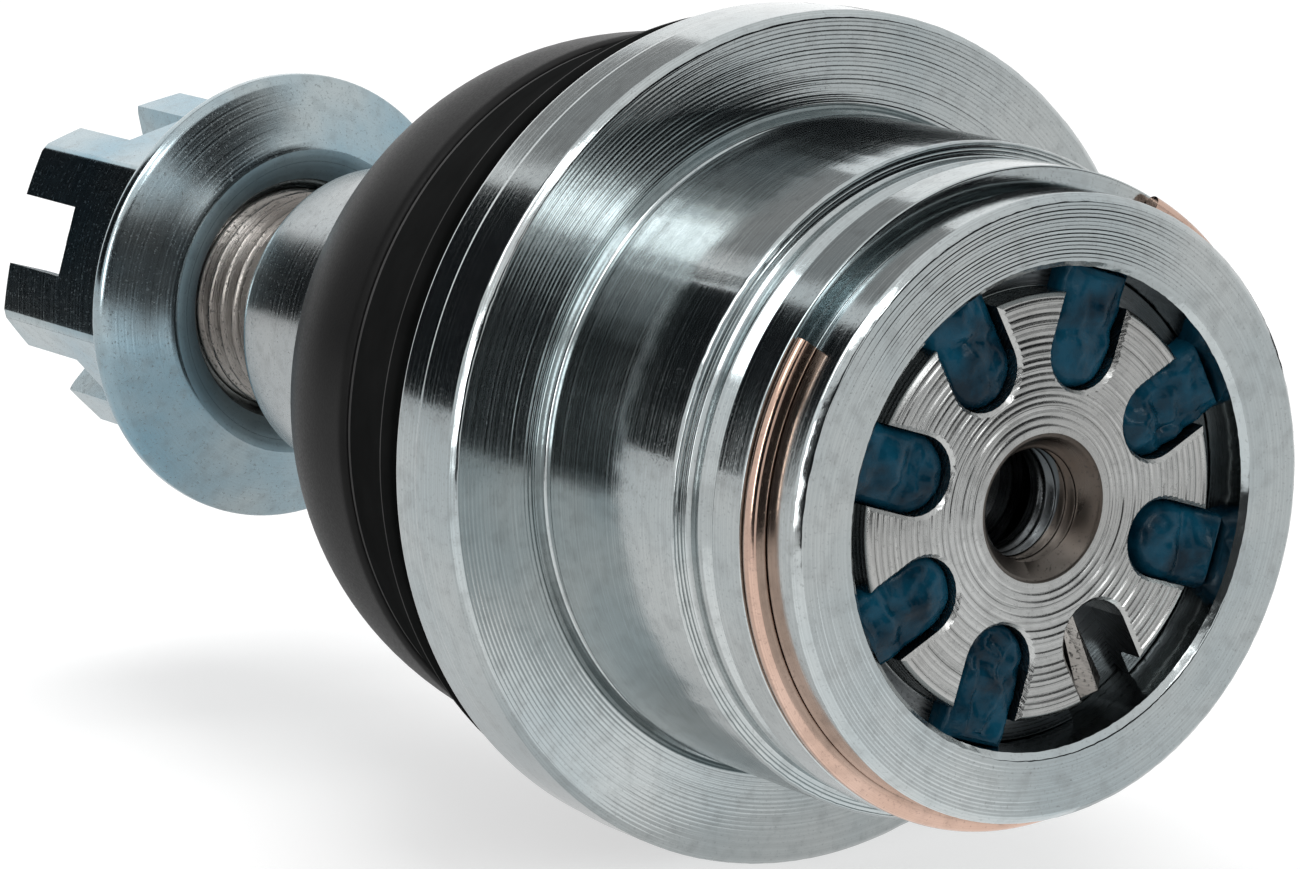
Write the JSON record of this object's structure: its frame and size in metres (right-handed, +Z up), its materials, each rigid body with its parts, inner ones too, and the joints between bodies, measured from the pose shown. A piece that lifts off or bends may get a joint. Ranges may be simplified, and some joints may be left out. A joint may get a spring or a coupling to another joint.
{
  "type": "press-in ball joint",
  "caption": "Greasable press-in ball joint with a flanged housing, slotted screw-in end cap, snap ring, rubber boot, tapered stud and flanged castle nut.",
  "frame": {"origin": "centre of the ball, on the housing's axis in the plane of the flange's seating face", "axes": "+Y along the housing's axis towards the stud, -Y out of the end cap, +Z up; at rest the stud leans 4.2 degrees from +Y, mostly towards -X"},
  "size_m": [0.0556, 0.104, 0.0556],
  "materials": {
    "zinc_plate": "turned steel with a pale blue zinc plating, satin",
    "blue_compound": "hard dark blue locking compound, glossy and lumpy",
    "copper_plate": "copper plated spring steel, satin",
    "seal_rubber": "black nitrile",
    "spring_steel": "dark spring steel",
    "bearing_steel": "ground bearing steel",
    "stud_steel": "turned forged steel, brown wear on the thread",
    "boot_rubber": "dark grey satin rubber",
    "black_band": "black satin coating"
  },
  "bodies": {
    "housing": {"housing": "zinc_plate", "end_cap": "zinc_plate", "lock_compound": "blue_compound", "retaining_ring": "copper_plate", "cap_o_ring": "seal_rubber", "disc_spring_outer": "spring_steel", "disc_spring_inner": "spring_steel", "pressure_plate": "bearing_steel", "lower_race": "bearing_steel", "upper_race": "bearing_steel", "boot_clamp": "black_band"},
    "boot": {"boot": "boot_rubber"},
    "boot_neck": {"boot_neck_ring": "spring_steel"},
    "stud": {"ball_stud": "stud_steel"},
    "nut": {"castle_nut": "zinc_plate"}
  },
  "joints": [
    {"name": "stud_swing", "type": "hinge", "parent": "housing", "child": "boot", "pos_m": [0, 0, 0], "axis": [0.2079, 0, 0.9781], "range_deg": [-20.2, 11.8], "deforming": ["boot"]},
    {"name": "stud_rock", "type": "hinge", "parent": "boot", "child": "boot_neck", "pos_m": [0, 0, 0], "axis": [-0.9755, -0.0732, 0.2074], "range_deg": [-15, 15]},
    {"name": "stud_spin", "type": "hinge", "parent": "boot_neck", "child": "stud", "pos_m": [0, 0, 0], "axis": [-0.0716, 0.9973, 0.0152], "continuous": true},
    {"name": "nut_turn", "type": "hinge", "parent": "stud", "child": "nut", "pos_m": [-0.00487, 0.06782, 0.00103], "axis": [-0.0716, 0.9973, 0.0152], "continuous": true}
  ]
}
